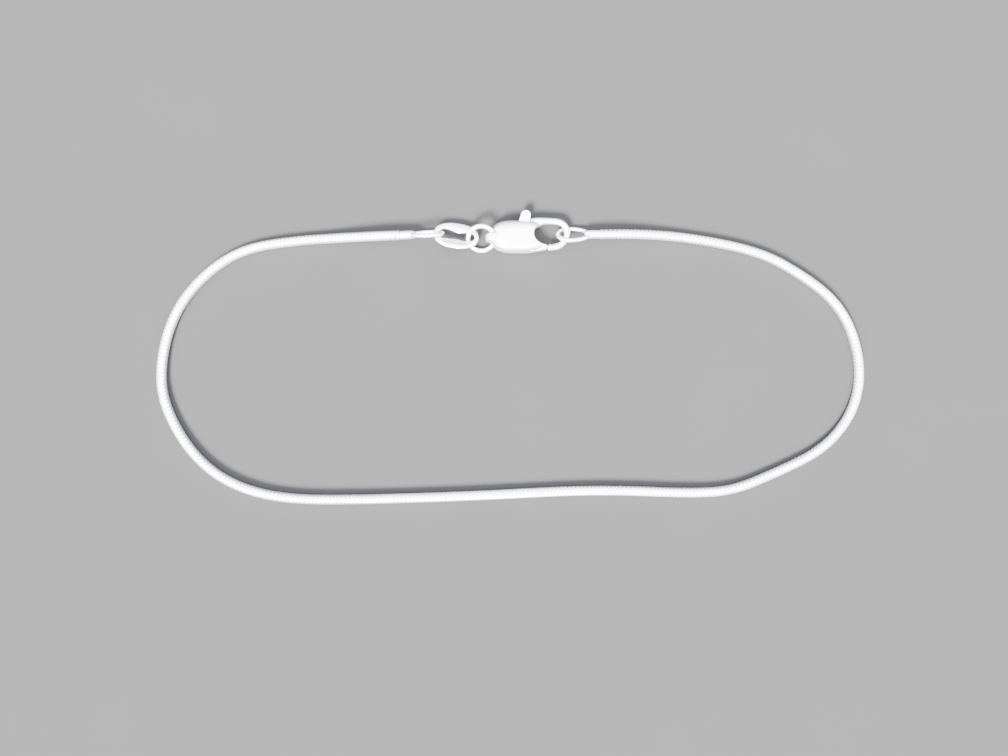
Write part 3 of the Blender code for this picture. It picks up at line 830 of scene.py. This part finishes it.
def make_clasp_body(material):
    """Domed body, tail eye and hook, fused as one casting, with the opening and the lever's slot."""
    bite = disc_plate([((OPENING_AHEAD, OPENING_SIDE), OPENING_DIAMETER)], BODY_THICKNESS * 1.5, 96)
    bitten = carve(object_of("pillow", pillow_mesh()), [object_of("opening", bite)])
    blank = joined("clasp_blank", [bitten, hook_mesh(), eye_mesh()])
    fused = melt(blank, CASTING_GRAIN, CASTING_ROUNDS)
    tools = [*slot_tools(), surface_tool(), groove_tool()]
    mesh = carve(object_of("clasp_fused", fused), tools)
    mesh.name = "clasp_casting"
    mesh.transform(Matrix.Translation(CLASP_PLACE))
    add_piece("clasp_casting", mesh, "bracelet", material, ["clasp_body"])
    mesh.set_sharp_from_angle(angle=SHARP_EDGE)


def make_lever(material):
    """The sprung lever, its edges well rounded by polishing."""
    nub, root, gate = (disc_plate(discs, LEVER_THICKNESS) for discs in lever_bars().values())
    arms = [object_of("lever_root", root), object_of("lever_gate", gate)]
    blank = carve(object_of("lever_blank", nub), arms, "UNION")
    fused = melt(object_of("lever_joined", blank), FITTING_GRAIN, LEVER_ROUNDS)
    fused.name = "lever_bright"
    fused.transform(Matrix.Translation(CLASP_PLACE))
    add_piece("lever_bright", fused, "lever", material, ["clasp_lever"])


def make_floor():
    """Plain pale floor."""
    bpy.ops.mesh.primitive_plane_add(size=FLOOR_SIZE)
    floor = bpy.context.object
    floor.name = "pale_floor"
    floor.data.materials.append(matt_floor())


def make_studio():
    """Soft light from all the sky, dim at the far side, and a broad warm key from the near side."""
    world = bpy.data.worlds.new("studio")
    bpy.context.scene.world = world
    world.use_nodes = True
    bench = Bench(world.node_tree)
    direction = bench.node("ShaderNodeTexCoord", {}, {}, "Generated")
    far = bench.node("ShaderNodeSeparateXYZ", {}, [direction], "Y")
    height = bench.node("ShaderNodeSeparateXYZ", {}, [direction], "Z")
    sky = bench.blend(bench.step(height, 0.0, ZENITH_STARTS), HORIZON_LIGHT, ZENITH_LIGHT)
    light = bench.blend(bench.step(far, *FAR_SIDE), sky, FAR_LIGHT)
    world.node_tree.links.new(light.socket, world.node_tree.nodes["Background"].inputs["Color"])
    lamp = bpy.data.lights.new("key", "SUN")
    lamp.energy = KEY_STRENGTH
    lamp.angle = KEY_SPREAD
    lamp.color = KEY_TINT
    key = object_of("key", lamp)
    key.rotation_euler = KEY_DIRECTION.to_track_quat("-Z", "Y").to_euler()


def make_camera():
    """The photograph's camera: almost straight above, a little to the left and the near side."""
    lens = bpy.data.cameras.new("photo_camera")
    lens.sensor_width = SENSOR_WIDTH
    lens.lens = FOCAL_PIXELS / FRAME_WIDTH * SENSOR_WIDTH
    lens.clip_start = NEAREST_SEEN
    lens.clip_end = FARTHEST_SEEN
    camera = object_of("photo_camera", lens)
    axis = Vector((math.tan(CAMERA_TILT[0]), math.tan(CAMERA_TILT[1]), -1.0)).normalized()
    right = axis.cross(Vector((0.0, 1.0, 0.0))).normalized()
    upward = right.cross(axis)
    base = Matrix((right, upward, -axis)).transposed().to_4x4()
    camera.matrix_world = Matrix.Translation(CAMERA_AIM - axis * CAMERA_DISTANCE) @ base
    bpy.context.scene.camera = camera


def main():
    """Dresses the bracelet."""
    bright = polished_silver()
    make_camera()
    make_chain(chain_silver(), chain_core())
    left = end_frame(AT["left_end"], AT["left_tip"], -LEFT_ROLL)
    right = end_frame(AT["right_end"], AT["right_tip"], RIGHT_ROLL)
    make_end_piece("left_end_piece", "end_loop_left", left, bright)
    make_end_piece("right_end_piece", "end_loop_right", right, bright)
    make_oval_link(bright)
    make_jump_ring(bright)
    make_clasp_body(bright)
    make_lever(bright)
    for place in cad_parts["lever_pin"].material_slots:
        place.material = pin_steel()
    make_floor()
    make_studio()


main()
